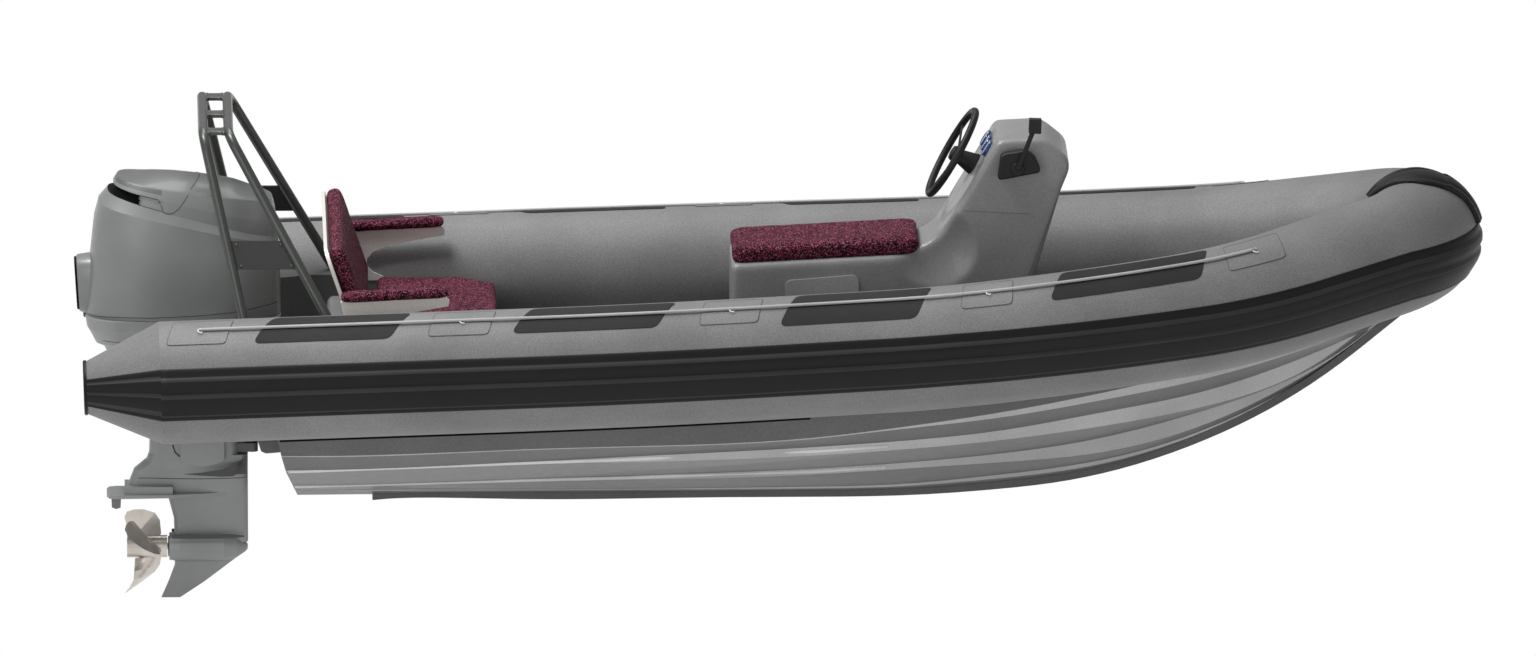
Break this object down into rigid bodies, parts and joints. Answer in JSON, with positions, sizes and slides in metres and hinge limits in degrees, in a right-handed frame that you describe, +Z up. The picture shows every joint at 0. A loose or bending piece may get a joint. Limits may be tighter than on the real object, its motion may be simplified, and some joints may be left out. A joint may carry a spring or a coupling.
{
  "type": "rigid inflatable boat",
  "caption": "Rigid inflatable boat with stepped hull, inflated collar, jockey helm seat and console, stern bench, light arch and steerable outboard motor.",
  "frame": {"origin": "on the waterline, on the centre line, above the foot of the transom", "axes": "+X to the bow, +Y to port, +Z up"},
  "size_m": [5.1301, 2.054, 1.8297],
  "materials": {
    "tube_fabric": "satin coated fabric",
    "black_rubber": "satin moulded rubber",
    "grey_gelcoat": "gloss gelcoat",
    "deck_gelcoat": "non-slip gelcoat",
    "white_gelcoat": "gloss gelcoat",
    "helm_gelcoat": "gloss gelcoat",
    "cushion_vinyl": "two-tone woven vinyl",
    "arch_metal": "dark satin coating",
    "motor_paint": "silver metallic gloss",
    "bracket_paint": "satin grey",
    "anode_zinc": "dull zinc",
    "stainless": "polished stainless",
    "dark_plastic": "satin black",
    "gauge_face": "blue dial faces under clear covers"
  },
  "bodies": {
    "boat": {"hull": "grey_gelcoat", "keel_guard": "black_rubber", "transom": "grey_gelcoat", "deck": "deck_gelcoat", "bow_step": "deck_gelcoat", "collar_port": "tube_fabric", "collar_starboard": "tube_fabric", "cone_port": "tube_fabric", "cone_starboard": "tube_fabric", "cone_caps": "black_rubber", "strake_port": "black_rubber", "strake_starboard": "black_rubber", "bow_band": "black_rubber", "bench_base": "deck_gelcoat", "bench_cushion": "cushion_vinyl", "back_cushion": "cushion_vinyl", "back_shell": "white_gelcoat", "arm_wings": "white_gelcoat", "arm_pads": "cushion_vinyl", "helm_moulding": "helm_gelcoat", "helm_cushion": "cushion_vinyl", "seat_hatch": "helm_gelcoat", "gauges": "gauge_face", "helm_column": "dark_plastic", "throttle_box": "dark_plastic", "throttle_lever": "dark_plastic", "arch_rear_hoop": "arch_metal", "arch_front_hoop": "arch_metal", "arch_cross_plates": "arch_metal", "arch_gussets": "arch_metal", "stern_corners": "grey_gelcoat", "clamp_bracket": "bracket_paint"},
    "swivel": {"swivel_bracket": "bracket_paint"},
    "motor": {"kingpin": "bracket_paint", "motor_leg": "motor_paint", "gearcase": "motor_paint", "trim_tab": "anode_zinc", "lower_cowl": "motor_paint", "cowl": "motor_paint"},
    "screw": {"propeller": "stainless"},
    "wheel": {"wheel_rim": "dark_plastic", "wheel_spokes": "dark_plastic"}
  },
  "joints": [
    {"name": "motor_trim", "type": "hinge", "parent": "boat", "child": "swivel", "pos_m": [-0.08, 0, 0.247], "axis": [0, 1, 0], "range_deg": [-4, 16]},
    {"name": "motor_steer", "type": "hinge", "parent": "swivel", "child": "motor", "pos_m": [-0.165, 0, 0.1], "axis": [0, 0, 1], "range_deg": [-30, 30]},
    {"name": "propeller_spin", "type": "hinge", "parent": "motor", "child": "screw", "pos_m": [-0.545, 0, -0.489], "axis": [1, 0, 0], "continuous": true},
    {"name": "wheel_turn", "type": "hinge", "parent": "boat", "child": "wheel", "pos_m": [2.389, 0, 0.969], "axis": [0.8686, 0, -0.4955], "range_deg": [-630, 630]}
  ],
  "couplings": [
    {"joint": "wheel_turn", "follows": "motor_steer", "ratio": 21}
  ]
}
